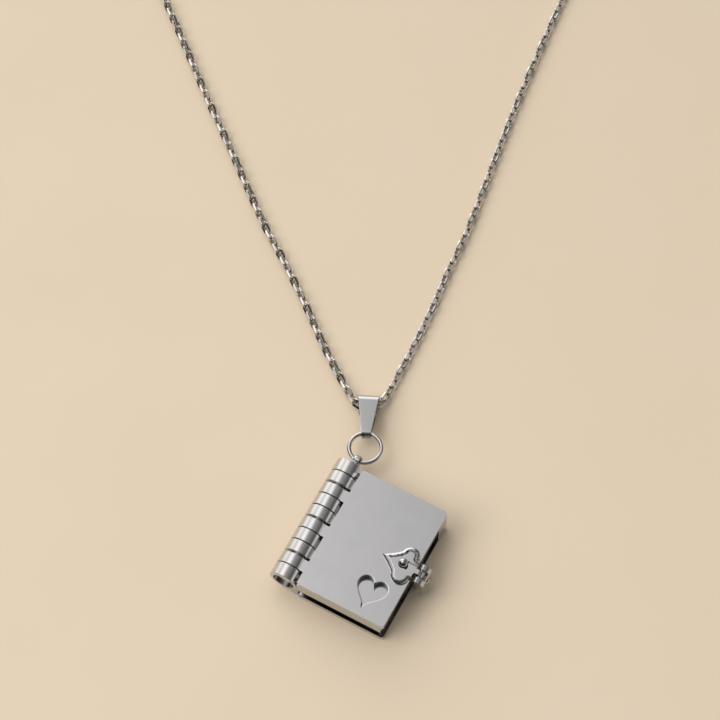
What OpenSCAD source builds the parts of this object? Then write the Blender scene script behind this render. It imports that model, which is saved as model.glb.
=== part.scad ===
// Book locket on a cable chain, lying closed on its back cover.
// The spine runs along Y, the covers open over it, and Z = 0 is the surface that the locket lies on.

/* [Book] */
// Width of a cover, from the spine to the fore-edge
cover_w = 17.6; // [14:0.2:24]
// Height of a cover, along the spine
cover_h = 25; // [23:0.5:27]
// Thickness of the closed book
book_t = 7; // [6.6:0.1:8]
// Thickness of each cover's plate
plate_t = 1.2; // [0.9:0.1:1.4]
// Thickness of the walls round the covers
wall_t = 0.9; // [0.6:0.1:1.1]
// Radius of the covers' corners
corner_r = 0.5; // [0.3:0.1:0.8]
// Length of the wall that returns down the fore-edge at the top corner
return_l = 3.6; // [2:0.2:5]
// Thickness of the inner leaf
leaf_t = 1; // [0.8:0.1:1.1]
// How far the inner leaf stops short of the covers' edges
leaf_inset = 1.3; // [1.2:0.1:2]
// Gap between the inner leaf and the front cover over it
leaf_gap = 0.2; // [0.15:0.05:0.4]

/* [Spine] */
// Outer diameter of the knuckles
barrel_d = 5.6; // [5:0.1:5.8]
// Bore of the knuckles
bore_d = 4.1; // [3.4:0.1:4.2]
// Radial play of the hinge pin in its bore
pin_play = 0.06; // [0.03:0.01:0.1]
// Length of one knuckle with its seam
knuckle_pitch = 2.55; // [2.45:0.05:2.6]
// Width of the close seams
seam = 0.16; // [0.12:0.02:0.24]
// Width of the wide seam after each third knuckle
wide_seam = 0.46; // [0.3:0.02:0.6]
// Gap between the knuckles and the covers' edges
spine_gap = 0.15; // [0.15:0.05:0.3]

/* [Heart] */
// Width of the pierced heart
heart_w = 5.7; // [3:0.1:6]
// Distance of the heart's axis from the spine edge of the cover
heart_x = 12.4; // [11:0.2:13.6]
// Height of the heart's tip above the lower edge of the cover
heart_y = 1.8; // [1.4:0.1:3]

/* [Clasp] */
// Length of the clasp's leaf, from its tip to the fore-edge
mount_l = 6.7; // [6.2:0.1:7.5]
// Thickness of the clasp's leaf
mount_t = 0.9; // [0.7:0.05:1]
// Distance of the rivet from the leaf's tip
rivet_x = 4.25; // [4:0.05:4.4]
// Radius of the rivet's dome
rivet_r = 0.95; // [0.7:0.05:1]
// Width of each arm of the fork
arm_w = 1; // [0.8:0.05:1.2]
// Half the gap between the two arms
arm_gap = 0.85; // [0.8:0.05:0.95]

/* [Ring and bail] */
// Radius of the jump ring, to the middle of its wire
ring_r = 3; // [2.8:0.05:3.3]
// Diameter of the jump ring's wire
ring_wire = 0.86; // [0.7:0.02:0.88]
// Length of the bail between the centres of its two round ends
bail_l = 6.4; // [5.6:0.1:7]
// Outer radius of the bail's upper end, round the chain
bail_top_r = 1.85; // [1.8:0.05:2.2]
// Outer radius of the bail's lower end, round the ring
bail_low_r = 1.1; // [1.1:0.05:1.3]
// Thickness of the bail's strap
strap_t = 0.45; // [0.35:0.05:0.5]
// Width of the bail at its upper end
bail_w = 4.25; // [3.4:0.05:4.3]
// Width of the bail at its lower end
bail_low_w = 1.6; // [1.2:0.1:2]

/* [Chain] */
// Width of the chain over its links
chain_d = 1.75; // [1.5:0.05:1.8]
// Angle between the spine and the line on which the locket hangs
hang_turn = 28.6; // [25:0.1:32]

/* [Hidden] */
$fn = 64;
steel = "silver";
dark_steel = "darkgray";
cut = 0.1;

// Which leaf each knuckle belongs to, counted from the top of the spine
BACK = 0;
FRONT = 1;
INNER = 2;
leaf_count = 3;
knuckle_n = 10;
barrel_r = barrel_d / 2;
barrel_l = knuckle_n * knuckle_pitch;
barrel_top = cover_h / 2 + 0.75;
barrel_tail = barrel_top - barrel_l;
barrel_x = -cover_w / 2 - spine_gap - barrel_r;
barrel_z = book_t / 2;
cap_t = 0.6;
pin_recess = 0.5;

// Heights of the walls: those at the top edge nearly meet at mid height, and the tail has only the upper one
front_z = book_t - plate_t;
meet_gap = 0.1;
leaf_z = front_z - leaf_gap - leaf_t;

// How much taller the heart is than the plain curve
heart_stretch = 1.13;

// Bead-shaped eye on the top of the spine, a little towards the fore-edge
eye_r = 0.95;
eye_half = 0.7;
eye_bore_r = 0.53;
eye_x = barrel_x + 0.5;
eye_y = barrel_top + 0.7 + eye_r;
eye_neck_r = 0.5;

// Clasp on the fore-edge, a little below the middle: places along X and Z of its hinge and of the ball stud
clasp_y = -0.3;
fork_x = cover_w / 2 + 1;
fork_z = book_t - 0.5;
clasp_knuckle_r = 0.6;
clasp_pin_r = 0.3;
clasp_play = 0.03;
side_play = 0.4;
channel_depth = 0.5;
lobe_r = 1.7;
lobe_x = mount_l - 1.95;
lobe_y = 2.05;
flank_sag = [lobe_x - 2.55, 1.3];
flank_end = [lobe_x - 1.6, 2.4];
channel_x = rivet_x + rivet_r - 0.3;
bend_r = 1.35;
fork_t = 0.65;
fork_foot_z = 1.4;
web_angle = 30;
stud_r = 0.3;
ball_r = 0.55;
stud_z = fork_z - 1.4;
ball_x = fork_x + 1.35;
tab_w = 1.4;
tab_t = 0.65;
tab_gap = 0.15;

// Ring and bail, from the eye outwards
ring_slack = -0.05;
ring_tilt = 3;
ring_x = eye_x;
ring_y = eye_y + ring_slack + ring_r;
ring_z = barrel_z - ring_r * sin(ring_tilt);
bail_turn = hang_turn - 3.7;
bail_slack = 0.05;
bail_steps = 24;
bail_low_q = ring_r * cos(ring_tilt) + bail_slack;
bail_low_z = ring_z - ring_r * sin(ring_tilt);
bail_top_z = bail_top_r + 0.05;
bail_tilt = asin((bail_low_z - bail_top_z) / bail_l);
bail_top_q = bail_low_q + bail_l * cos(bail_tilt);

// Chain's route from the clasp, through the bail and back: across the hanging line, along it, and lift above the surface
route = [
    [6, 188, 0], [18, 184.5, 0], [30, 176.5, 0], [40, 164, 0], [46, 148, 0],
    [48.5, 130, 0], [47.5, 113, 0], [43.5, 99.5, 0], [39.3, 89.8, 0], [35.2, 80, 0],
    [30.6, 68.5, 0], [26.3, 57, 0], [19.5, 38, 0], [15.4, 28.5, 0], [12.4, 21, 0],
    [9.2, 13.8, 0], [6.4, 8, 0], [4.6, 4.4, 0.15], [3.3, 1.8, 0.45], [2.1, 0.2, 0.75],
    [0, -0.45, 0.9], [-2.1, 0.4, 0.75], [-3.4, 2.4, 0.45], [-5.4, 6.4, 0.1], [-8.4, 12.8, 0],
    [-12, 21.5, 0], [-16.3, 31, 0], [-20.3, 39.2, 0], [-27.4, 56.5, 0], [-32, 67.5, 0],
    [-36.5, 79, 0], [-40.8, 89.8, 0], [-45, 101, 0], [-48.5, 114.5, 0], [-49.5, 130, 0],
    [-47, 148, 0], [-41, 164, 0], [-31, 176.5, 0], [-18.5, 184.5, 0], [-6, 188, 0]
];
chain_r = chain_d / 2;
chain_z = chain_r + 0.02;
chain_sides = 8;
steps = 2;
chain_clasp_q = 188;
chain_clasp_wire = 1.2;
chain_clasp_r = 1.6;
chain_clasp_l = 7.2;

// A plate with round corners, standing on Z = 0
module rounded_plate(w, h, t, r) {
    translate([-w / 2 + r, -h / 2, 0]) cube([w - 2 * r, h, t]);
    translate([-w / 2, -h / 2 + r, 0]) cube([w, h - 2 * r, t]);
    for (x = [-w / 2 + r, w / 2 - r], y = [-h / 2 + r, h / 2 - r])
        translate([x, y, 0]) cylinder(h = t, r = r);
}

// A cylinder along Y round the spine's axis
module round_spine(y0, y1, r) {
    translate([barrel_x, y0, barrel_z]) rotate([-90, 0, 0]) cylinder(h = y1 - y0, r = r);
}

// Moves a part of the clasp to its height on the fore-edge
module at_clasp() {
    translate([0, clasp_y, 0]) children();
}

// A cylinder along Y round the clasp's hinge
module round_clasp(y0, y1, r) {
    translate([fork_x, y0, fork_z]) rotate([-90, 0, 0]) cylinder(h = y1 - y0, r = r);
}

function seam_after(i) = i % leaf_count == FRONT ? wide_seam : seam;
function knuckle_top(i) = barrel_top - i * knuckle_pitch - (i == 0 ? 0 : seam_after(i - 1) / 2);
function knuckle_low(i) = barrel_top - (i + 1) * knuckle_pitch + (i == knuckle_n - 1 ? 0 : seam_after(i) / 2);

// One leaf's knuckles, each with the web that joins it to the leaf
module knuckles(leaf, web) {
    for (i = [0 : knuckle_n - 1]) {
        if (i % leaf_count == leaf) {
            round_spine(knuckle_low(i), knuckle_top(i), barrel_r);
            translate([0, knuckle_top(i), 0]) rotate([90, 0, 0])
                linear_extrude(height = knuckle_top(i) - knuckle_low(i)) polygon(web);
        }
    }
}

// The wall along one edge of a cover, from z0 to z1, with its return down the fore-edge
module edge_wall(side, z0, z1, return_len) {
    y0 = side > 0 ? cover_h / 2 - wall_t : -cover_h / 2;
    translate([-cover_w / 2, y0, z0]) cube([cover_w - corner_r, wall_t, z1 - z0]);
    if (return_len > 0) {
        translate([cover_w / 2 - wall_t, cover_h / 2 - return_len, z0])
            cube([wall_t, return_len - corner_r, z1 - z0]);
        translate([cover_w / 2 - corner_r, cover_h / 2 - corner_r, z0])
            cylinder(h = z1 - z0, r = corner_r);
    }
}

// The heart's outline, with its tip on the origin and as wide as the given width; a little taller than the plain curve
function heart_curve(w) = [
    for (t = [0 : 9 : 351]) w / 32 * [
        16 * pow(sin(t), 3),
        heart_stretch * (17 + 13 * cos(t) - 5 * cos(2 * t) - 2 * cos(3 * t) - cos(4 * t))
    ]
];

module heart_hole() {
    translate([heart_x - cover_w / 2, heart_y - cover_h / 2, front_z - cut])
        linear_extrude(height = plate_t + 2 * cut) polygon(heart_curve(heart_w));
}

// The bead with its neck, which stands on the capped top of the spine and holds the ring
module spine_eye() {
    difference() {
        translate([eye_x, barrel_top - cut, barrel_z]) rotate([-90, 0, 0])
            cylinder(h = eye_y - barrel_top, r = eye_neck_r);
        translate([eye_x - eye_r, eye_y, barrel_z]) rotate([0, 90, 0]) cylinder(h = 2 * eye_r, r = eye_r * 0.8);
    }
    translate([eye_x, eye_y, barrel_z]) rotate([0, 90, 0]) rotate_extrude() polygon([
        [eye_bore_r, -eye_half], [eye_r * 0.8, -eye_half], [eye_r, -eye_half / 2],
        [eye_r, eye_half / 2], [eye_r * 0.8, eye_half], [eye_bore_r, eye_half]
    ]);
}

// The tab and ball stud that the clasp's fork drops over
module ball_stud() {
    tab_x = cover_w / 2 + tab_gap;
    translate([cover_w / 2 - 1, -tab_w / 2, 0]) cube([1 + tab_gap + tab_t, tab_w, plate_t]);
    translate([tab_x, -tab_w / 2, 0]) cube([tab_t, tab_w, stud_z + stud_r]);
    translate([tab_x, 0, stud_z]) rotate([0, 90, 0]) cylinder(h = ball_x - tab_x, r = stud_r, $fn = 32);
    translate([ball_x, 0, stud_z]) sphere(r = ball_r, $fn = 32);
}

module back_cover() {
    left = -cover_w / 2;
    web = [
        [left + 1, 0], [left - 0.6, 0], [barrel_x + barrel_r * 0.4, barrel_z - barrel_r * 0.85],
        [barrel_x + barrel_r * 0.8, barrel_z - barrel_r * 0.5], [left, plate_t], [left + 1, plate_t]
    ];
    color(steel) difference() {
        union() {
            rounded_plate(cover_w, cover_h, plate_t, corner_r);
            edge_wall(1, plate_t - cut, barrel_z - meet_gap, return_l);
            knuckles(BACK, web);
            spine_eye();
            at_clasp() ball_stud();
        }
        round_spine(barrel_tail - cut, barrel_top - cap_t, bore_d / 2);
    }
}

module front_cover() {
    left = -cover_w / 2;
    web = [
        [left + 1, front_z], [left + 1, front_z + 0.4], [left - 0.1, front_z + 0.3],
        [barrel_x + barrel_r * 0.72, barrel_z + barrel_r * 0.66],
        [barrel_x + barrel_r * 0.85, barrel_z + barrel_r * 0.4], [left, front_z]
    ];
    color(steel) difference() {
        union() {
            translate([0, 0, front_z]) rounded_plate(cover_w, cover_h, plate_t, corner_r);
            edge_wall(1, barrel_z + meet_gap, front_z + cut, return_l);
            edge_wall(-1, barrel_z + meet_gap, front_z + cut, 0);
            knuckles(FRONT, web);
        }
        round_spine(barrel_tail, barrel_top, bore_d / 2);
        heart_hole();
        translate([cover_w / 2 - mount_l + rivet_x, clasp_y, front_z - cut])
            cylinder(h = plate_t + 2 * cut, r = rivet_r / 2 + clasp_play);
    }
}

module inner_leaf() {
    right = cover_w / 2 - leaf_inset;
    left = -cover_w / 2;
    web = [
        [left + 1, leaf_z], [barrel_x + barrel_r * 0.75, leaf_z],
        [barrel_x + barrel_r * 0.5, leaf_z + leaf_t], [left + 1, leaf_z + leaf_t]
    ];
    color(dark_steel) difference() {
        union() {
            translate([(left + right) / 2, 0, leaf_z])
                rounded_plate(right - left, cover_h - 2 * leaf_inset, leaf_t, corner_r);
            knuckles(INNER, web);
        }
        round_spine(barrel_tail, barrel_top, bore_d / 2);
    }
}

module hinge_pin() {
    color(dark_steel)
        round_spine(barrel_tail + pin_recess, barrel_top - cap_t - 0.1, bore_d / 2 - pin_play);
}

function flank_point(t) = 2 * t * (1 - t) * flank_sag + t * t * flank_end;

// The clasp's leaf: a pointed tip, hollow flanks and two round lobes, cut by a channel down to its knuckle
module clasp_leaf() {
    tip_x = cover_w / 2 - mount_l;
    flank = [for (k = [0 : 8]) flank_point(k / 8)];
    tongue = [
        [fork_x - 1.8, book_t], [fork_x - 1.8, book_t + 0.35], [fork_x - 0.3, book_t + 0.35],
        [fork_x + 0.3, fork_z + 0.4], [fork_x, fork_z], [fork_x - 0.75, fork_z - 0.1], [fork_x - 0.75, book_t]
    ];
    half = arm_gap - side_play;
    color(steel) at_clasp() difference() {
        union() {
            difference() {
                translate([tip_x, 0, book_t]) linear_extrude(height = mount_t) {
                    polygon(concat(
                        flank,
                        [[lobe_x, lobe_y], [mount_l, lobe_y], [mount_l, -lobe_y], [lobe_x, -lobe_y]],
                        [for (k = [8 : -1 : 1]) [flank_point(k / 8)[0], -flank_point(k / 8)[1]]]
                    ));
                    for (side = [-1, 1]) translate([lobe_x, side * lobe_y]) circle(r = lobe_r);
                }
                translate([tip_x + channel_x, -arm_gap, book_t + mount_t - channel_depth])
                    cube([mount_l, 2 * arm_gap, mount_t]);
            }
            translate([0, half, 0]) rotate([90, 0, 0]) linear_extrude(height = 2 * half) polygon(tongue);
            round_clasp(-half, half, clasp_knuckle_r);
        }
        translate([tip_x + rivet_x, 0, book_t - cut])
            cylinder(h = mount_t + 2 * cut, r = rivet_r / 2 + clasp_play);
        round_clasp(-arm_gap, arm_gap, clasp_pin_r + clasp_play);
    }
}

// The rivet: a dome over a shank that goes through the leaf and the cover
module clasp_rivet() {
    x = cover_w / 2 - mount_l + rivet_x;
    base_z = book_t + mount_t;
    color(steel) at_clasp() {
        intersection() {
            translate([x, 0, base_z]) sphere(r = rivet_r);
            translate([x - rivet_r, -rivet_r, base_z]) cube(2 * rivet_r);
        }
        translate([x, 0, front_z + 0.1]) cylinder(h = base_z - front_z, r = rivet_r / 2);
    }
}

module clasp_pin() {
    half = arm_gap + arm_w;
    color(dark_steel) at_clasp() round_clasp(-half, half, clasp_pin_r);
}

// The bend of the fork's strap, from its leg up to the given angle
module fork_bend(y0, y1, angle) {
    centre = [fork_x + 0.15, fork_z + clasp_knuckle_r - bend_r];
    reach = 2 * bend_r;
    translate([0, y1, 0]) rotate([90, 0, 0]) linear_extrude(height = y1 - y0)
        intersection() {
            translate(centre) difference() {
                circle(r = bend_r);
                circle(r = bend_r - fork_t);
            }
            translate(centre) polygon([
                [0, 0], [reach, 0], [reach, reach * tan(angle / 2)],
                [reach * cos(angle), reach * sin(angle)]
            ]);
        }
}

// The swinging fork: two knuckles, two arms and the web that joins them over the ball stud
module clasp_fork() {
    leg_x = fork_x + 0.15 + bend_r - fork_t;
    leg_top = fork_z + clasp_knuckle_r - bend_r;
    color(steel) at_clasp() difference() {
        union() {
            for (side = [-1, 1]) {
                y0 = side > 0 ? arm_gap : -arm_gap - arm_w;
                round_clasp(y0, y0 + arm_w, clasp_knuckle_r);
                fork_bend(y0, y0 + arm_w, 89.9);
                translate([leg_x, y0, fork_foot_z]) cube([fork_t, arm_w, leg_top - fork_foot_z + 0.01]);
            }
            fork_bend(-arm_gap - cut, arm_gap + cut, web_angle);
        }
        round_clasp(-2 * arm_w, 2 * arm_w, clasp_pin_r + clasp_play);
    }
}

module jump_ring() {
    color(steel) translate([ring_x, ring_y, ring_z]) rotate([0, 0, hang_turn]) rotate([-ring_tilt, 0, 0])
        rotate_extrude() translate([ring_r, 0]) circle(d = ring_wire, $fn = 32);
}

// The tear-drop outline of the bail's side, or of its hollow when it is drawn smaller, as a block along X
module drop_block(shrink, half) {
    r0 = bail_low_r - shrink;
    r1 = bail_top_r - shrink;
    lean = asin((r1 - r0) / bail_l);
    low_arc = [for (k = [0 : bail_steps]) 90 + lean + k * (180 - 2 * lean) / bail_steps];
    top_arc = [for (k = [0 : bail_steps]) -90 - lean + k * (180 + 2 * lean) / bail_steps];
    rotate([90, 0, 90]) translate([0, 0, -half]) linear_extrude(height = 2 * half)
        polygon(concat(
            [for (a = low_arc) r0 * [cos(a), sin(a)]],
            [for (a = top_arc) [bail_l, 0] + r1 * [cos(a), sin(a)]]
        ));
}

// The bail: a strap folded round the ring and the chain, tapered towards the ring
module bail() {
    low = -bail_low_r - cut;
    top = bail_l + bail_top_r + cut;
    color(steel) translate([ring_x, ring_y, 0]) rotate([0, 0, bail_turn])
        translate([0, bail_low_q, bail_low_z]) rotate([-bail_tilt, 0, 0])
            intersection() {
                difference() {
                    drop_block(0, bail_w);
                    drop_block(strap_t, bail_w + cut);
                }
                translate([0, 0, -2 * bail_top_r]) linear_extrude(height = 4 * bail_top_r)
                    polygon([
                        [-bail_low_w / 2, low], [bail_low_w / 2, low],
                        [bail_w / 2, top], [-bail_w / 2, top]
                    ]);
            }
}

// Places a thing that is drawn on the hanging line, with the bail's upper end at its origin
module on_hanging_line() {
    translate([ring_x - bail_top_q * sin(bail_turn), ring_y + bail_top_q * cos(bail_turn), 0])
        rotate([0, 0, hang_turn]) children();
}

function unit(v) = v / norm(v);
function clip(i) = max(0, min(len(route) - 1, i));
function spline(a, b, c, d, t) =
    0.5 * (2 * b + (c - a) * t + (2 * a - 5 * b + 4 * c - d) * t * t + (3 * b - a - 3 * c + d) * t * t * t);
function route_at(i, t) = spline(route[clip(i - 1)], route[i], route[clip(i + 1)], route[clip(i + 2)], t);
centres = concat(
    [for (i = [0 : len(route) - 2], k = [0 : steps - 1]) route_at(i, k / steps) + [0, 0, chain_z]],
    [route[len(route) - 1] + [0, 0, chain_z]]
);
last = len(centres) - 1;
function heading(i) = unit(centres[min(last, i + 1)] - centres[max(0, i - 1)]);
function across(i) = unit(cross([0, 0, 1], heading(i)));
function rim_point(i, k) =
    centres[i] + chain_r * (
        cos(360 * (k + 0.5) / chain_sides) * across(i)
        + sin(360 * (k + 0.5) / chain_sides) * cross(heading(i), across(i))
    );

// The chain as a tube over its links, in one loop that is open at the clasp
module chain() {
    n = chain_sides;
    points = [for (i = [0 : last], k = [0 : n - 1]) rim_point(i, k)];
    sides = [
        for (i = [0 : last - 1], k = [0 : n - 1])
            [i * n + k, i * n + (k + 1) % n, (i + 1) * n + (k + 1) % n, (i + 1) * n + k]
    ];
    first_cap = [for (k = [0 : n - 1]) n - 1 - k];
    last_cap = [for (k = [0 : n - 1]) last * n + k];
    color(steel) on_hanging_line()
        polyhedron(points = points, faces = concat(sides, [first_cap, last_cap]), convexity = 10);
}

// The chain's own clasp, a plain long ring that the chain's two ends hook into
module chain_clasp() {
    color(steel) on_hanging_line() translate([0, chain_clasp_q, chain_clasp_wire / 2])
        for (turn = [0, 180]) {
            rotate([0, 0, turn]) {
                translate([chain_clasp_l / 2, 0, 0]) rotate([0, 0, -90]) rotate_extrude(angle = 180)
                    translate([chain_clasp_r, 0]) circle(d = chain_clasp_wire, $fn = 32);
                translate([-chain_clasp_l / 2, chain_clasp_r, 0]) rotate([0, 90, 0])
                    cylinder(h = chain_clasp_l, d = chain_clasp_wire, $fn = 32);
            }
        }
}

back_cover();
front_cover();
inner_leaf();
hinge_pin();
clasp_leaf();
clasp_rivet();
clasp_pin();
clasp_fork();
jump_ring();
bail();
chain();
chain_clasp();
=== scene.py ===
import bpy
import bmesh
import math
from mathutils import Matrix, Vector


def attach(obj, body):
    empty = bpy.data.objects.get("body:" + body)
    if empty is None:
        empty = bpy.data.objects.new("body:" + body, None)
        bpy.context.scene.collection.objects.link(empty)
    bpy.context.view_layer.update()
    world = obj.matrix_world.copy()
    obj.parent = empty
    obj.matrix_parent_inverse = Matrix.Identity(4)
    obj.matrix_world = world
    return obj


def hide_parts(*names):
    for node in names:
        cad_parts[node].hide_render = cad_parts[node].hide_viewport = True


# A small steel book locket on a cable chain, lying on a pale board under soft light.
# Everything is in metres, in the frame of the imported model:
# +X runs from the spine to the fore-edge, +Y towards the bail.

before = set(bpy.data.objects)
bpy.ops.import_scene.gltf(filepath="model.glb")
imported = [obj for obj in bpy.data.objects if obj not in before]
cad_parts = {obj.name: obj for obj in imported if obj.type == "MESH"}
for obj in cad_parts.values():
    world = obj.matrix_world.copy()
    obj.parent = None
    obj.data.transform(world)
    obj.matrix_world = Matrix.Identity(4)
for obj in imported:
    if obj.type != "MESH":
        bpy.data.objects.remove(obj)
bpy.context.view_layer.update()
mm = 0.001

# Camera first, so that every later choice can be judged in the photo's own view

camera = {
    "place": (77.5 * mm, -147.0 * mm, 446.3 * mm),
    "back": (0.2011, -0.3690, 0.9074),  # from what it looks at, towards the camera
    "lens": 130,
    "sensor": 36,
}


def setCamera():
    data = bpy.data.cameras.new("photoCamera")
    data.lens = camera["lens"]
    data.sensor_width = camera["sensor"]
    eye = bpy.data.objects.new("photoCamera", data)
    bpy.context.collection.objects.link(eye)
    eye.rotation_euler = Vector(camera["back"]).to_track_quat("Z", "Y").to_euler()
    eye.location = camera["place"]
    bpy.context.scene.camera = eye


setCamera()
print("camera set")


# Materials

def hexColor(text):
    # sRGB hex to the linear values that Blender works in
    channels = [int(text[i:i + 2], 16) / 255 for i in (1, 3, 5)]
    linear = [c / 12.92 if c <= 0.04045 else ((c + 0.055) / 1.055) ** 2.4 for c in channels]
    return (*linear, 1)


def addNode(tree, kind, inputs, **settings):
    # a value goes into a socket as it is, and an output socket is linked to it
    node = tree.nodes.new(kind)
    for name, value in settings.items():
        setattr(node, name, value)
    for socket, value in inputs.items():
        if isinstance(value, bpy.types.NodeSocket):
            tree.links.new(value, node.inputs[socket])
        else:
            node.inputs[socket].default_value = value
    return node


def newMaterial(name):
    material = bpy.data.materials.new(name)
    material.use_nodes = True
    tree = material.node_tree
    return material, tree, tree.nodes["Principled BSDF"]


def addNoise(tree, noise):
    # noise fixed to the piece, drawn out along each axis whose stretch is small
    place = addNode(tree, "ShaderNodeTexCoord", {}).outputs["Object"]
    if "stretch" in noise:
        place = addNode(tree, "ShaderNodeMapping", {
            "Vector": place, "Rotation": noise.get("turn", (0, 0, 0)), "Scale": noise["stretch"],
        }).outputs["Vector"]
    return addNode(tree, "ShaderNodeTexNoise", {
        "Vector": place, "Scale": 1 / noise["size"], "Detail": noise["detail"],
        "Roughness": noise.get("roughness", 0.5),
    }).outputs["Fac"]


def addTint(tree, shader, noise, colors):
    tint = addNode(tree, "ShaderNodeMix", {
        "Factor": noise, "A": hexColor(colors[0]), "B": hexColor(colors[1]),
    }, data_type="RGBA")
    tree.links.new(tint.outputs["Result"], shader.inputs["Base Color"])


def addRoughness(tree, shader, noise, seen, rough):
    # the seen part of the noise is spread over the range of roughness
    spread = addNode(tree, "ShaderNodeMapRange", {
        "Value": noise, "From Min": seen[0], "From Max": seen[1],
        "To Min": rough[0], "To Max": rough[1],
    })
    tree.links.new(spread.outputs["Result"], shader.inputs["Roughness"])


def addBump(tree, shader, noise, bump):
    strength, depth = bump
    dents = addNode(tree, "ShaderNodeBump", {
        "Height": noise, "Strength": strength, "Distance": depth,
    })
    tree.links.new(dents.outputs["Normal"], shader.inputs["Normal"])


def grainedSteel(finish):
    # steel of one colour, whose bump and roughness follow the same grain
    material, tree, shader = newMaterial(finish["name"])
    grain = addNoise(tree, finish["grain"])
    addBump(tree, shader, grain, finish["bump"])
    if "seen" in finish:
        addRoughness(tree, shader, grain, finish["seen"], finish["rough"])
    else:
        shader.inputs["Roughness"].default_value = finish["rough"]
    shader.inputs["Base Color"].default_value = hexColor(finish["color"])
    shader.inputs["Metallic"].default_value = 1
    return material


buffed = {
    "colors": ("#CFCFD0", "#C7C7C9"),
    "smudge": {"size": 4.5 * mm, "detail": 4.0, "roughness": 0.6},
    "seen": (0.35, 0.7),
    "rough": (0.07, 0.17),
    "hairline": {
        "size": 0.09 * mm,
        "detail": 2.0,
        "stretch": (1, 0.04, 1),  # the marks run along the spine's direction
        "turn": (0, 0, math.radians(24)),  # only picks another stretch of the noise
    },
    "bump": (0.05, 0.01 * mm),
}


def buffedSteel():
    # stainless steel, stamped and buffed:
    # a clear mirror with soft smudges and hairline polishing marks
    material, tree, shader = newMaterial("buffedStainlessSteel")
    smudge = addNoise(tree, buffed["smudge"])
    addTint(tree, shader, smudge, buffed["colors"])
    addRoughness(tree, shader, smudge, buffed["seen"], buffed["rough"])
    addBump(tree, shader, addNoise(tree, buffed["hairline"]), buffed["bump"])
    shader.inputs["Metallic"].default_value = 1
    return material


# stainless tube turned on a lathe and lightly polished:
# fine rings round the spine and soft streaks of light
turnedTube = {
    "name": "turnedStainlessSteel",
    "color": "#D6D5D4",
    "grain": {"size": 0.12 * mm, "detail": 3.0, "stretch": (0.06, 1, 0.06)},
    "seen": (0.3, 0.7),
    "rough": (0.1, 0.2),
    "bump": (0.08, 0.01 * mm),
}

# bright rolled stainless sheet of the leaf and pins:
# nearly a mirror, with a faint grain along the leaf
rolledSheet = {
    "name": "brightRolledSteel",
    "color": "#CDCDCE",
    "grain": {"size": 0.15 * mm, "detail": 3.0, "stretch": (1, 0.05, 1)},
    "seen": (0.3, 0.7),
    "rough": (0.1, 0.22),
    "bump": (0.05, 0.01 * mm),
}

# wall of the heart, cut and left unpolished, in a darker grey that is painted shade:
# it darkens the opening so that it reads as deep
cutWallPaintedShade = {
    "name": "laserCutSteelPaintedShade",
    # painted shade: this grey is darker than the steel so that the heart's walls look shaded
    "color": "#77777A",
    "grain": {"size": 0.12 * mm, "detail": 2.0, "stretch": (1, 1, 0.08)},
    "rough": 0.24,
    "bump": (0.1, 0.01 * mm),
}

# drawn stainless wire, barrel-polished:
# a bright round highlight, softened by tiny dents
drawnWire = {
    "name": "drawnStainlessWire",
    "color": "#DAD8D6",
    "grain": {"size": 0.5 * mm, "detail": 2.0},
    "seen": (0.3, 0.7),
    "rough": (0.08, 0.2),
    "bump": (0.06, 0.02 * mm),
}

boardPaint = {
    "colors": ("#E5D4BB", "#E9D9C2"),
    "mottle": {"size": 30 * mm, "detail": 5.0},
    "rough": 0.7,
}


def paintedBoard():
    # smooth warm board with a matt paint: almost even, with a very faint mottle
    material, tree, shader = newMaterial("mattPaintedBoard")
    addTint(tree, shader, addNoise(tree, boardPaint["mottle"]), boardPaint["colors"])
    shader.inputs["Roughness"].default_value = boardPaint["rough"]
    return material


steel = buffedSteel()
spineSteel = grainedSteel(turnedTube)
leafSteel = grainedSteel(rolledSheet)
heartShadeSteel = grainedSteel(cutWallPaintedShade)
wire = grainedSteel(drawnWire)
board = paintedBoard()
print("materials made")


# Sizes of the book and its spine, in millimetres, by which edges and faces are picked

book = {
    "left": -8.8,
    "right": 8.8,
    "top": 12.5,  # and the tail is as far below the middle
    "thick": 7.0,
    "plate": 1.2,
    "rim": 0.6,  # a rim's edges lie within this of the outline
    "slack": 0.05,
}
spine = {
    "x": -11.75,
    "z": 3.5,
    "radius": 2.8,
    "bore": 2.05,
    "slack": (0.2, 0.1),  # outside the bore, and outside the barrel
    "skin": 0.15,
    "facing": 0.6,
}


def nearSpine(middle):
    # true on the outside of the barrel, not in its bore
    inner, outer = spine["slack"]
    reach = math.hypot(middle.x - spine["x"], middle.z - spine["z"])
    return spine["bore"] + inner < reach < spine["radius"] + outer


def onKnuckle(middle, normal):
    # true for the barrel's outer face
    out = Vector((middle.x - spine["x"], 0, middle.z - spine["z"]))
    if not nearSpine(middle) or out.length <= spine["radius"] - spine["skin"]:
        return False
    return out.normalized().dot(normal) > spine["facing"]


def onRim(middle):
    # true near the fore-edge, the top and the tail
    return middle.x > book["right"] - book["rim"] or abs(middle.y) > book["top"] - book["rim"]


def onFrontFace(middle):
    return middle.z > book["thick"] - book["slack"]


# Helpers for the pieces

cleaning = {"merge": 0.002 * mm, "flat": math.radians(0.3)}
sharpEdge = math.radians(35)
smoothing = {
    "sharp": math.radians(32),
    "flat": 0.99995,  # cosine from which two faces count as one flat area
}
tiny = 1e-12  # keeps a weight or a divisor off zero


def selectOnly(piece):
    bpy.ops.object.select_all(action="DESELECT")
    piece.select_set(True)
    bpy.context.view_layer.objects.active = piece


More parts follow.
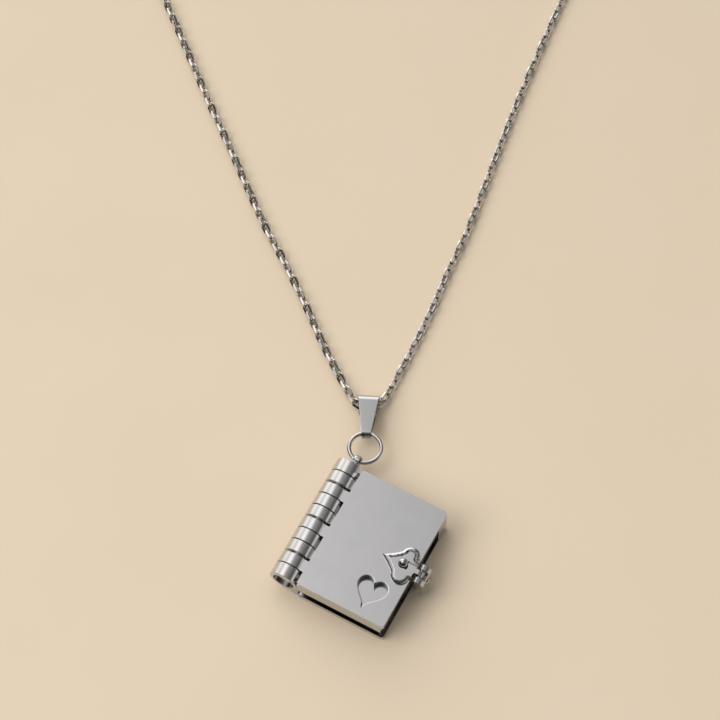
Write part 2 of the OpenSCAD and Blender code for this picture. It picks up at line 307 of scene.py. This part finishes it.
def copyOfNode(node, name):
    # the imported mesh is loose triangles, so the copy is merged and its flat faces are made whole
    piece = bpy.data.objects.new(name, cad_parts[node].data.copy())
    bpy.context.collection.objects.link(piece)
    piece.data.materials.clear()
    selectOnly(piece)
    bpy.ops.object.mode_set(mode="EDIT")
    bpy.ops.mesh.select_all(action="SELECT")
    bpy.ops.mesh.remove_doubles(threshold=cleaning["merge"])
    bpy.ops.mesh.dissolve_limited(angle_limit=cleaning["flat"])
    bpy.ops.mesh.quads_convert_to_tris(quad_method="BEAUTY", ngon_method="BEAUTY")
    bpy.ops.object.mode_set(mode="OBJECT")
    return piece


def bevelEdges(piece, wanted, width, segments, clamp=True):
    # bevels the sharp edges whose middle passes the test, as a buffing wheel would round them
    selectOnly(piece)
    bpy.ops.object.mode_set(mode="EDIT")
    bpy.ops.mesh.select_mode(type="EDGE")
    bpy.ops.mesh.select_all(action="DESELECT")
    mesh = bmesh.from_edit_mesh(piece.data)
    count = 0
    for edge in mesh.edges:
        if len(edge.link_faces) == 2 and edge.calc_face_angle(0) > sharpEdge:
            middle = (edge.verts[0].co + edge.verts[1].co) / (2 * mm)
            along = (edge.verts[1].co - edge.verts[0].co).normalized()
            if wanted(middle, along):
                edge.select = True
                count += 1
    mesh.select_flush_mode()
    bmesh.update_edit_mesh(piece.data)
    bpy.ops.mesh.bevel(offset=width, segments=segments, profile=0.5, clamp_overlap=clamp)
    bpy.ops.object.mode_set(mode="OBJECT")
    print("  ", piece.name, count, "edges rounded")


def flatAreas(mesh):
    # for each face, the size of the whole flat area that it is part of
    areas = [0] * len(mesh.faces)
    for first in mesh.faces:
        if areas[first.index] == 0:
            patch, front, total = [first], [first], 0
            areas[first.index] = -1
            while front:
                face = front.pop()
                total += face.calc_area()
                for other in (near for edge in face.edges for near in edge.link_faces):
                    level = other.normal.dot(first.normal) > smoothing["flat"]
                    if level and areas[other.index] == 0:
                        areas[other.index] = -1
                        patch.append(other)
                        front.append(other)
            for face in patch:
                areas[face.index] = total + tiny
    return areas


def smoothRounded(piece):
    # rounded edges shade smoothly, and each flat area stays quite flat, however many faces it has
    mesh = bmesh.new()
    mesh.from_mesh(piece.data)
    mesh.faces.ensure_lookup_table()
    areas = flatAreas(mesh)
    limit = math.cos(smoothing["sharp"])
    normals = []
    for face in mesh.faces:
        face.smooth = True
        for loop in face.loops:
            near = [f for f in loop.vert.link_faces if f.normal.dot(face.normal) > limit]
            total = sum((f.normal * areas[f.index] for f in near), Vector())
            normals.append(total.normalized() if total.length > 0 else face.normal.copy())
    mesh.to_mesh(piece.data)
    mesh.free()
    piece.data.normals_split_custom_set(normals)


def finishPiece(piece, material, body, nodes, barrel=None):
    # the faces of the knuckles take the barrel's own finish where one is given
    piece.data.materials.clear()
    piece.data.materials.append(material)
    if barrel:
        piece.data.materials.append(barrel)
        for face in piece.data.polygons:
            if onKnuckle(face.center / mm, face.normal):
                face.material_index = 1
    smoothRounded(piece)
    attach(piece, body)
    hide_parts(*nodes)


# Chain of round links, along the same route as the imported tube

hanging = {"turn": math.radians(28.6), "bailTop": (-15.172 * mm, 26.3 * mm)}
chain = {
    "pitch": 1.6 * mm,
    "wire": 0.52 * mm,
    "width": 1.75 * mm,
    "length": 2.64 * mm,
    "segments": (14, 6),  # round the link, round its wire
    "waist": 0.05,  # points nearer the link's middle than this share of its radius aren't pulled
    "height": 0.895 * mm,  # of the chain's middle above the board
    "lean": math.radians(45),  # each link leans the other way from the one before it
    "unrest": (math.radians(7), 1.7),  # so that no two links lie quite alike
    "steps": 16,  # between two points of the route
    "route": [
        (6, 188, 0), (18, 184.5, 0), (30, 176.5, 0), (40, 164, 0), (46, 148, 0),
        (48.5, 130, 0), (47.5, 113, 0), (43.5, 99.5, 0), (39.3, 89.8, 0), (35.2, 80, 0),
        (30.6, 68.5, 0), (26.3, 57, 0), (19.5, 38, 0), (15.4, 28.5, 0), (12.4, 21, 0),
        (9.2, 13.8, 0), (6.4, 8, 0), (4.6, 4.4, 0.15), (3.3, 1.8, 0.45), (2.1, 0.2, 0.75),
        (0, -0.45, 0.9), (-2.1, 0.4, 0.75), (-3.4, 2.4, 0.45), (-5.4, 6.4, 0.1),
        (-8.4, 12.8, 0), (-12, 21.5, 0), (-16.3, 31, 0), (-20.3, 39.2, 0), (-27.4, 56.5, 0),
        (-32, 67.5, 0), (-36.5, 79, 0), (-40.8, 89.8, 0), (-45, 101, 0), (-48.5, 114.5, 0),
        (-49.5, 130, 0), (-47, 148, 0), (-41, 164, 0), (-31, 176.5, 0), (-18.5, 184.5, 0),
        (-6, 188, 0),
    ],
}


def fromPhoto(point, origin=(0, 0)):
    # from right, up and height in the photo's ground to the model's frame
    p, q, z = point
    c, s = math.cos(hanging["turn"]), math.sin(hanging["turn"])
    return Vector((origin[0] + p * c - q * s, origin[1] + p * s + q * c, z))


def curvePoints(route, steps):
    # the smooth curve through the route's points
    points = []
    last = len(route) - 1
    for i in range(last):
        a, b, c, d = (Vector(route[min(max(k, 0), last)]) for k in (i - 1, i, i + 1, i + 2))
        for k in range(steps):
            t = k / steps
            points.append(0.5 * (2 * b + (c - a) * t + (2 * a - 5 * b + 4 * c - d) * t ** 2
                                 + (3 * b - a - 3 * c + d) * t ** 3))
    points.append(Vector(route[last]))
    return points


def evenStations(points, pitch):
    # middles and headings of the links, one pitch apart
    lengths = [0]
    for a, b in zip(points, points[1:]):
        lengths.append(lengths[-1] + (b - a).length)
    count = round(lengths[-1] / pitch)
    stations = []
    i = 0
    for k in range(count):
        want = (k + 0.5) * lengths[-1] / count
        while lengths[i + 1] < want:
            i += 1
        a, b = points[i], points[i + 1]
        share = (want - lengths[i]) / (lengths[i + 1] - lengths[i])
        stations.append((a.lerp(b, share), (b - a).normalized()))
    return stations


def oneLink():
    # a ring of wire, pulled to a short oval
    radius = (chain["width"] - chain["wire"]) / 2
    around, across = chain["segments"]
    bpy.ops.object.select_all(action="DESELECT")
    bpy.ops.mesh.primitive_torus_add(
        major_radius=radius, minor_radius=chain["wire"] / 2,
        major_segments=around, minor_segments=across)
    link = bpy.context.object
    for side in (1, -1):
        bpy.ops.object.mode_set(mode="EDIT")
        bpy.ops.mesh.select_mode(type="VERT")
        bpy.ops.mesh.select_all(action="DESELECT")
        mesh = bmesh.from_edit_mesh(link.data)
        for vertex in mesh.verts:
            vertex.select = vertex.co.x * side > chain["waist"] * radius
        mesh.select_flush_mode()
        bmesh.update_edit_mesh(link.data)
        pull = side * (chain["length"] - chain["width"]) / 2
        bpy.ops.transform.translate(value=(pull, 0, 0))
        bpy.ops.object.mode_set(mode="OBJECT")
    return link


def layChain():
    link = oneLink()
    route = [(p * mm, q * mm, z * mm + chain["height"]) for p, q, z in chain["route"]]
    curve = curvePoints(route, chain["steps"])
    points = [fromPhoto(point, hanging["bailTop"]) for point in curve]
    stations = evenStations(points, chain["pitch"])
    swing, rhythm = chain["unrest"]
    copies = []
    for number, (middle, heading) in enumerate(stations):
        side = Vector((0, 0, 1)).cross(heading).normalized()
        roll = chain["lean"] if number % 2 else -chain["lean"]
        roll += swing * math.sin(number * rhythm)
        leaning = Matrix.Rotation(roll, 3, heading) @ side
        up = heading.cross(leaning)
        place = Matrix((heading, leaning, up)).transposed().to_4x4()
        place.translation = middle
        copy = bpy.data.objects.new("link", link.data.copy())
        copy.data.transform(place)
        bpy.context.collection.objects.link(copy)
        copies.append(copy)
    bpy.data.objects.remove(link)
    bpy.ops.object.select_all(action="DESELECT")
    for copy in copies:
        copy.select_set(True)
    bpy.context.view_layer.objects.active = copies[0]
    bpy.ops.object.join()
    piece = bpy.context.object
    piece.name = "chainLinks"
    finishPiece(piece, wire, "case", ["chain"])
    print("chain laid,", len(copies), "links")


layChain()

# Covers, spine and leaf

rimRound = {"front": (0.4 * mm, 5), "back": (0.3 * mm, 3)}  # width and segments
knuckle = {"round": (0.08 * mm, 3), "across": 0.1}
heart = {
    "x": (0.6, 7),
    "y": (-11, -3),
    "merge": 0.16,
    "wide": 0.2,  # of the chamfer round it
    "deep": 0.085,
    "slack": 0.02,
    "upright": 0.3,  # a wall's normal is less steep than this
}
pinEnd = (1.1 * mm, 6)


def roundKnuckles(piece):
    # the knuckles' end edges lie across the spine
    bevelEdges(piece, lambda m, a: abs(a.y) < knuckle["across"] and nearSpine(m), *knuckle["round"])


def mergeShort(piece, wanted, reach):
    # joins points that lie too close together for a bevel
    selectOnly(piece)
    bpy.ops.object.mode_set(mode="EDIT")
    bpy.ops.mesh.select_mode(type="VERT")
    bpy.ops.mesh.select_all(action="DESELECT")
    mesh = bmesh.from_edit_mesh(piece.data)
    for vertex in mesh.verts:
        vertex.select = wanted(vertex.co / mm)
    mesh.select_flush_mode()
    bmesh.update_edit_mesh(piece.data)
    bpy.ops.mesh.remove_doubles(threshold=reach * mm)
    bpy.ops.object.mode_set(mode="OBJECT")


def inHeart(point):
    return heart["x"][0] < point.x < heart["x"][1] and heart["y"][0] < point.y < heart["y"][1]


def onFrontRim(middle, along):
    # the front plate's own outline, also on the spine's side, where its knuckles don't count
    left = middle.x - book["left"]
    return onFrontFace(middle) and left > -book["slack"] and (
        onRim(middle) or left < book["slack"])


def onBackRim(middle, along):
    # both faces of the back plate
    low = middle.z < book["slack"]
    return onRim(middle) and (low or abs(middle.z - book["plate"]) < book["slack"])


def frontCover():
    piece = copyOfNode("front_cover", "frontCover")
    bevelEdges(piece, onFrontRim, *rimRound["front"])
    mergeShort(piece, inHeart, heart["merge"])
    bevelEdges(
        piece, lambda m, a: onFrontFace(m) and inHeart(m), heart["wide"] * mm, segments=1, clamp=False)
    # the bevel's lower edge comes up, so that the chamfer is shallow
    lower = book["thick"] - heart["wide"]
    for vertex in piece.data.vertices:
        if inHeart(vertex.co / mm) and abs(vertex.co.z / mm - lower) < heart["slack"]:
            vertex.co.z = (book["thick"] - heart["deep"]) * mm
    roundKnuckles(piece)
    finishPiece(piece, steel, "front", ["front_cover"], spineSteel)
    # the heart's upright walls take the darker steel, whose grey is painted shade in the opening
    piece.data.materials.append(heartShadeSteel)
    for face in piece.data.polygons:
        if inHeart(face.center / mm) and abs(face.normal.z) < heart["upright"]:
            face.material_index = 2


def backCover():
    piece = copyOfNode("back_cover", "backCover")
    bevelEdges(piece, onBackRim, *rimRound["back"])
    roundKnuckles(piece)
    finishPiece(piece, steel, "case", ["back_cover"], spineSteel)


def innerLeaf():
    piece = copyOfNode("inner_leaf", "innerLeaf")
    roundKnuckles(piece)
    finishPiece(piece, leafSteel, "leaf", ["inner_leaf"], spineSteel)


def hingePin():
    piece = copyOfNode("hinge_pin", "hingePin")
    bevelEdges(piece, lambda m, a: True, *pinEnd)
    finishPiece(piece, leafSteel, "case", ["hinge_pin"])


frontCover()
backCover()
innerLeaf()
hingePin()
print("covers, leaf and pin made")

# Clasp

ornament = {
    "top": 7.9,
    "level": 0.99,  # a face of the top looks up at least this much
    "slack": 0.01,
    "first": 0.037,  # of the grid's cuts, from the ornament's edge
    "step": 0.065,
    "slope": (0.6, 0.42),  # width and steepness of the sloping border
    "round": 0.2,  # of its outer edge
    "groove": (0.8, 0.2, 0.5),  # engraved line: distance from the rim, half its width, depth
    "rivet": (6.35, -0.3, 1.2),  # middle and reach of the rivet's seat, which stays flat
}
forkRound = (0.1 * mm, 2)


def onTop(height):
    return abs(height / mm - ornament["top"]) < ornament["slack"]


def topRim(piece):
    # the top's outer edges, as pairs of points in millimetres,
    # without those of the rivet's seat, the channel and the fore-edge
    mesh = bmesh.new()
    mesh.from_mesh(piece.data)
    x, y, seat = ornament["rivet"]
    pairs = []
    for edge in mesh.edges:
        level = [f for f in edge.link_faces if f.normal.z > ornament["level"]]
        if len(level) == 1 and all(onTop(v.co.z) for v in edge.verts):
            ends = tuple(Vector(v.co.xy) / mm for v in edge.verts)
            middle = (ends[0] + ends[1]) / 2
            inChannel = middle.x > x and abs(middle.y - y) < seat
            onSeat = (middle - Vector((x, y))).length <= seat
            onForeEdge = middle.x >= book["right"] - book["slack"]
            if not (inChannel or onSeat or onForeEdge):
                pairs.append(ends)
    mesh.free()
    return pairs


def distanceTo(spot, a, b):
    along = b - a
    share = max(0, min(1, (spot - a).dot(along) / max(along.length_squared, tiny)))
    return (spot - a - along * share).length


def gridTop(piece):
    # cuts the top into a fine grid, which can then take a relief
    low = [min(v.co[k] for v in piece.data.vertices) / mm for k in (0, 1)]
    high = [max(v.co[k] for v in piece.data.vertices) / mm for k in (0, 1)]
    selectOnly(piece)
    bpy.ops.object.mode_set(mode="EDIT")
    bpy.ops.mesh.select_mode(type="FACE")
    for k in (0, 1):
        place = low[k] + ornament["first"]
        while place < high[k]:
            bpy.ops.mesh.select_all(action="DESELECT")
            mesh = bmesh.from_edit_mesh(piece.data)
            for face in mesh.faces:
                level = face.normal.z > ornament["level"]
                face.select = level and onTop(face.calc_center_median().z)
            bmesh.update_edit_mesh(piece.data)
            spot, normal = [0, 0, 0], [0, 0, 0]
            spot[k], normal[k] = place * mm, 1
            bpy.ops.mesh.bisect(plane_co=spot, plane_no=normal)
            place += ornament["step"]
    bpy.ops.object.mode_set(mode="OBJECT")


def roundOrnament(piece):
    # slopes the ornament's border, rounds its edge and engraves a line inside its far side
    radius = ornament["round"]
    border, steep = ornament["slope"]
    line, half, depth = ornament["groove"]
    rim = topRim(piece)
    gridTop(piece)
    for vertex in piece.data.vertices:
        if onTop(vertex.co.z):
            spot = Vector(vertex.co.xy) / mm
            reach = min(distanceTo(spot, a, b) for a, b in rim)
            if reach < border:
                vertex.co.z -= steep * (border - reach) * mm
            elif abs(reach - line) < half and spot.y > ornament["rivet"][1]:
                vertex.co.z -= depth * (1 - abs(reach - line) / half) * mm
            if reach < radius:
                vertex.co.z -= (radius - math.sqrt(radius ** 2 - (radius - reach) ** 2)) * mm
    piece.data.update()


def claspPieces():
    leaf = copyOfNode("clasp_leaf", "claspLeaf")
    roundOrnament(leaf)
    finishPiece(leaf, steel, "front", ["clasp_leaf"])
    rivet = copyOfNode("clasp_rivet", "claspRivet")
    finishPiece(rivet, steel, "front", ["clasp_rivet"])
    pin = copyOfNode("clasp_pin", "claspPin")
    finishPiece(pin, leafSteel, "front", ["clasp_pin"])
    fork = copyOfNode("clasp_fork", "claspFork")
    bevelEdges(fork, lambda m, a: True, *forkRound)
    finishPiece(fork, steel, "fork", ["clasp_fork"])


claspPieces()
print("clasp made")

# Ring, bail and the chain's own clasp

bailRound = (0.1 * mm, 2)


def ringAndBail():
    ring = copyOfNode("jump_ring", "jumpRing")
    finishPiece(ring, wire, "case", ["jump_ring"])
    bail = copyOfNode("bail", "bailStrap")
    bevelEdges(bail, lambda m, a: True, *bailRound)
    finishPiece(bail, steel, "case", ["bail"])
    clasp = copyOfNode("chain_clasp", "chainClasp")
    finishPiece(clasp, wire, "case", ["chain_clasp"])


ringAndBail()
print("ring and bail made")

# Board and light

floor = {"size": 4, "below": 0.01 * mm}
lamps = {
    "key": {"from": (-0.8, -0.2, 0.85), "size": 0.9, "power": 8.2, "color": "#FFFAF4"},
    "fill": {"from": (0.1, 0.1, 1.2), "size": 1.8, "power": 4.4, "color": "#FFFDFB"},
}
room = {"glow": 0.03, "falloff": 1.3, "color": "#FFFDFB"}
studio = {
    # what the steel mirrors: direction, cosine at which it fades out, brightness
    "window": ((-0.35, 0.33, 0.876), 0.6, 0.3),
    "softbox": ((-0.42, -0.02, 0.91), 0.86, 1.0),
    "strip": ((-0.57, 0.36, 0.74), 0.86, 0.6),
    "ceiling": ((0.3, 0.55, 0.78), 0.6, 0.15),
    "overhead": ((0.1, -0.25, 0.96), 0.85, 0.12),
    "leftWall": ((-0.9, 0.37, 0.2), 0.88, 0.9),
    "rightWall": ((0.93, 0.33, 0.12), 0.88, 0.5),
    "backWall": ((-0.6, 0.78, 0.18), 0.78, 1.8),
}


def layBoard():
    bpy.ops.object.select_all(action="DESELECT")
    bpy.ops.mesh.primitive_plane_add(size=floor["size"], location=(0, 0, -floor["below"]))
    ground = bpy.context.object
    ground.name = "board"
    ground.data.materials.append(board)


def setLights():
    # the lamps light the board, and aren't mirrored in the steel, which has the studio for that
    for name, lamp in lamps.items():
        data = bpy.data.lights.new(name, "AREA")
        data.size = lamp["size"]
        data.energy = lamp["power"]
        data.color = hexColor(lamp["color"])[:3]
        light = bpy.data.objects.new(name, data)
        bpy.context.collection.objects.link(light)
        place = fromPhoto(lamp["from"])
        light.location = place
        light.rotation_euler = place.to_track_quat("Z", "Y").to_euler()
        light.visible_glossy = False


def setWorld():
    # a dim room with a softbox in a wide dim window at the upper left and a strip beside it,
    # a faint ceiling, and brighter walls low down, which the edges and rounded faces pick up
    world = bpy.data.worlds.new("studio")
    bpy.context.scene.world = world
    world.use_nodes = True
    tree = world.node_tree
    place = addNode(tree, "ShaderNodeTexCoord", {}).outputs["Generated"]
    total = room["glow"]
    for direction, edge, glow in studio.values():
        towards = addNode(tree, "ShaderNodeVectorMath", {
            0: place, 1: Vector(direction).normalized(),
        }, operation="DOT_PRODUCT").outputs["Value"]
        near = addNode(tree, "ShaderNodeMapRange", {
            "Value": towards, "From Min": edge, "From Max": 1.0,
        }).outputs["Result"]
        soft = addNode(tree, "ShaderNodeMath", {
            0: near, 1: room["falloff"],
        }, operation="POWER").outputs["Value"]
        total = addNode(tree, "ShaderNodeMath", {
            0: soft, 1: glow, 2: total,
        }, operation="MULTIPLY_ADD").outputs["Value"]
    background = tree.nodes["Background"]
    background.inputs["Color"].default_value = hexColor(room["color"])
    tree.links.new(total, background.inputs["Strength"])
    # colours come out as they were chosen
    bpy.context.scene.view_settings.view_transform = "Standard"


layBoard()
setLights()
setWorld()
print("board and lights set")
